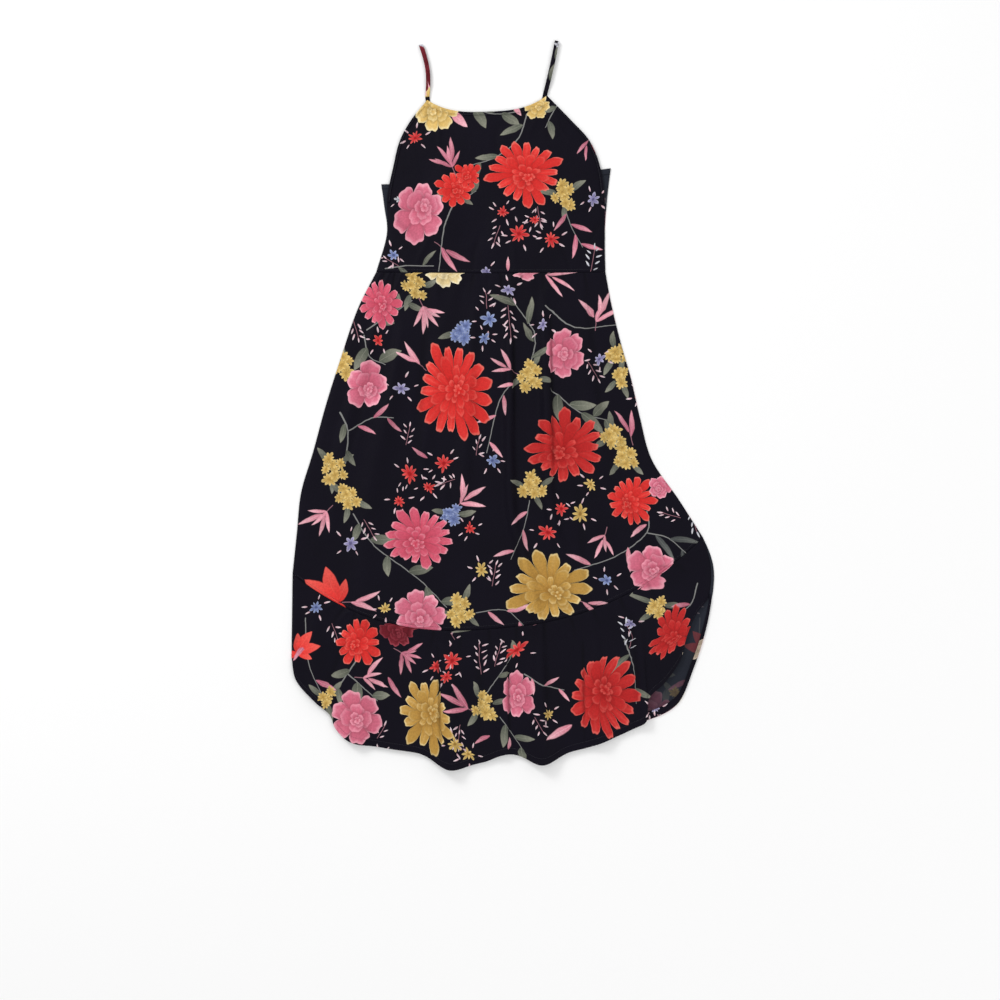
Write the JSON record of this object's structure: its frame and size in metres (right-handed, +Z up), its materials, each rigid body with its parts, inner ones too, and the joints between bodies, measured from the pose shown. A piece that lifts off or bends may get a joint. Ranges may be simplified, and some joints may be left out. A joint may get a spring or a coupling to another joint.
{
  "type": "sundress",
  "caption": "Sleeveless sundress laid flat, with a high neckline on thin shoulder straps, a full skirt and a curved flounce.",
  "frame": {"origin": "middle of the rectangle that the dress covers, on the surface that it lies on", "axes": "+Y from the hem to the straps, +Z up out of the surface towards the front of the dress, +X to the right of someone looking down on it"},
  "size_m": [0.7928, 1.3668, 0.0208],
  "materials": {
    "floral": "matt woven viscose, printed",
    "floral_inside": "wrong side of the same cloth",
    "floral_trim": "bands, bindings and straps of the same cloth"
  },
  "bodies": {
    "root": {"bodice_front": "floral", "bodice_back": "floral_inside", "skirt_front": "floral", "skirt_back": "floral_inside", "flounce_front": "floral", "flounce_back": "floral_inside", "hem_turn_up_back": "floral_trim", "neck_band": "floral_trim", "back_band": "floral_trim", "armhole_binding_left": "floral_trim", "armhole_binding_right": "floral_trim", "strap_left": "floral_trim", "strap_right": "floral_trim"}
  },
  "joints": []
}
